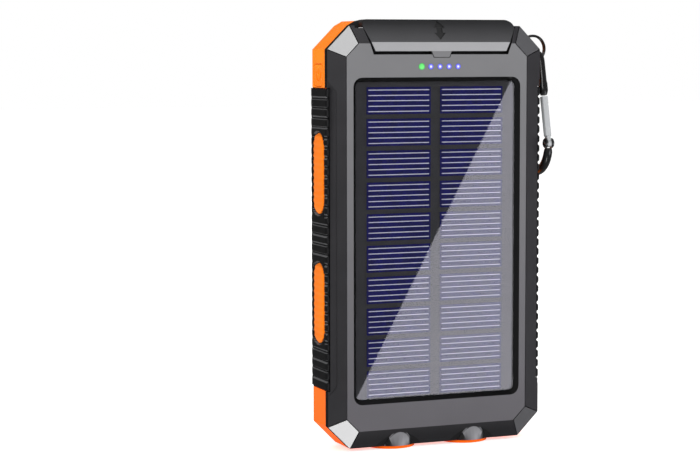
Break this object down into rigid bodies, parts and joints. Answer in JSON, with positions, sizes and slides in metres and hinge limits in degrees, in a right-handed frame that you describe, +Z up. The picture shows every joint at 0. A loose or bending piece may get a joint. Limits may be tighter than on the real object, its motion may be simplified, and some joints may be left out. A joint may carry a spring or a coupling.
{
  "type": "solar phone charger",
  "caption": "Slim upright phone charger with a solar panel on its face, a rubber port cover, a flashlight end, side grips and a carabiner on a ring.",
  "frame": {"origin": "middle of the flat flashlight end that the charger stands on", "axes": "+Z up along the charger's length, the solar panel faces -Y, and +X is to the right seen from the front"},
  "size_m": [0.0853, 0.0219, 0.1449],
  "materials": {
    "shell": "satin grey-black moulded",
    "orange_plastic": "satin orange moulded",
    "grip_rubber": "matt black, grooved",
    "orange_rubber": "matt orange, fine ribs",
    "cover_rubber": "soft-touch dark grey",
    "clear_sheet": "clear glossy sheet over the cells",
    "solar_cell": "navy silicon with fine silver lines",
    "panel_board": "dark grey board behind the cells",
    "green_light": "lit green light pipe",
    "blue_light": "lit blue light pipe",
    "clear_lens": "clear moulded lens",
    "reflector": "vacuum-metallised",
    "led": "white package with a phosphor dome",
    "circuit_board": "green solder mask",
    "steel": "plated",
    "black_plastic": "moulded",
    "white_plastic": "moulded",
    "can": "capacitor can",
    "pouch": "laminated foil pouch",
    "foam": "adhesive foam",
    "wire": "insulated lead",
    "black_metal": "black coated",
    "gate_metal": "polished plate"
  },
  "bodies": {
    "case": {"front_shell": "shell", "rear_shell": "shell", "mid_frame": "orange_plastic", "left_grip": "grip_rubber", "right_grip": "grip_rubber", "left_grip_pad_upper": "orange_rubber", "left_grip_pad_lower": "orange_rubber", "right_grip_pad_upper": "orange_rubber", "right_grip_pad_lower": "orange_rubber", "case_screw_1": "steel", "case_screw_2": "steel", "case_screw_3": "steel", "case_screw_4": "steel", "port_cover_anchor": "cover_rubber", "solar_cover_sheet": "clear_sheet", "solar_cell_string": "solar_cell", "solar_backing_board": "panel_board", "status_light_pipe_1": "green_light", "status_light_pipe_2": "blue_light", "status_light_pipe_3": "blue_light", "status_light_pipe_4": "blue_light", "status_light_pipe_5": "blue_light", "flashlight_lens_left": "clear_lens", "flashlight_reflector_left": "reflector", "flashlight_led_left": "led", "flashlight_lens_right": "clear_lens", "flashlight_reflector_right": "reflector", "flashlight_led_right": "led", "flashlight_board": "circuit_board", "main_board": "circuit_board", "usb_socket_left": "steel", "usb_tongue_left": "black_plastic", "usb_socket_right": "steel", "usb_tongue_right": "black_plastic", "micro_usb_socket": "steel", "boost_inductor": "black_plastic", "controller_chip": "black_plastic", "output_capacitor": "can", "power_switch_body": "black_plastic", "battery_cell_front": "pouch", "battery_cell_rear": "pouch", "battery_adhesive_pad": "foam", "rear_foam_pad": "foam", "battery_lead": "wire", "solar_lead": "wire", "flashlight_lead": "wire", "lanyard_pin": "steel"},
    "port_cover": {"port_cover": "cover_rubber"},
    "power_button": {"power_button": "orange_plastic", "power_switch_plunger": "white_plastic"},
    "split_ring": {"split_ring": "black_metal"},
    "carabiner": {"carabiner_body": "black_metal", "carabiner_gate_pin": "steel"},
    "carabiner_gate": {"carabiner_gate": "gate_metal"}
  },
  "joints": [
    {"name": "port_cover_hinge", "type": "hinge", "parent": "case", "child": "port_cover", "pos_m": [0, 0.0087, 0.1423], "axis": [-1, 0, 0], "range_deg": [0, 115]},
    {"name": "power_button_press", "type": "slide", "parent": "case", "child": "power_button", "axis": [1, 0, 0], "range_m": [0, 0.0005], "stiffness_N_per_m": 600, "springref_m": -0.0005},
    {"name": "ring_swing", "type": "hinge", "parent": "case", "child": "split_ring", "pos_m": [0.0373, -0.0003, 0.13613], "axis": [0, -1, 0], "range_deg": [0, 65]},
    {"name": "carabiner_swing", "type": "hinge", "parent": "split_ring", "child": "carabiner", "pos_m": [0.0419, -0.0003, 0.13076], "axis": [1, 0, 0], "range_deg": [-35, 35]},
    {"name": "gate_open", "type": "hinge", "parent": "carabiner", "child": "carabiner_gate", "pos_m": [0.0419, -0.00968, 0.10256], "axis": [-1, 0, 0], "range_deg": [0, 28], "stiffness_Nm_per_rad": 0.004, "springref_deg": -5.73}
  ]
}
